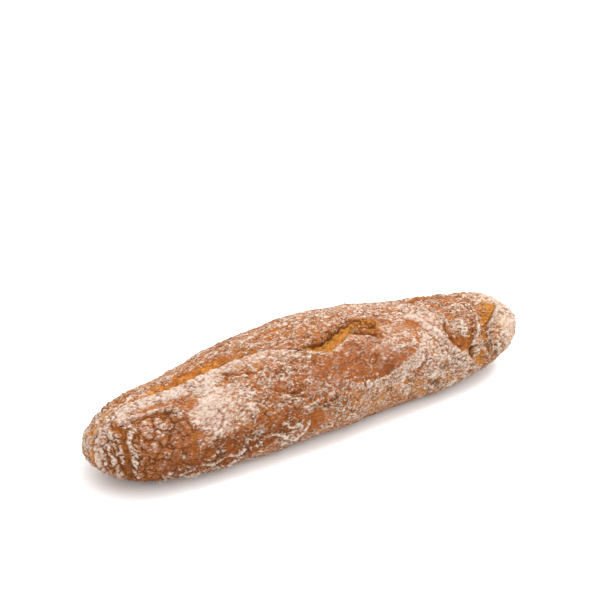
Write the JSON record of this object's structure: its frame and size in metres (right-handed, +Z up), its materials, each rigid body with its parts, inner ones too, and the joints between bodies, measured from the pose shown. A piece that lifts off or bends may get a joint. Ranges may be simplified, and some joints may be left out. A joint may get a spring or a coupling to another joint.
{
  "type": "baguette",
  "caption": "Short rustic loaf of bread with blunt round ends, a flat base and one long cut along its crown.",
  "frame": {"origin": "middle of the flat base, under the middle of the loaf's box", "axes": "+X along the loaf's length, +Z up from the base, -Y toward the side below the raised lip"},
  "size_m": [0.36, 0.092, 0.0629],
  "materials": {
    "crust": "matte floured crust"
  },
  "bodies": {
    "root": {"loaf": "crust"}
  },
  "joints": []
}
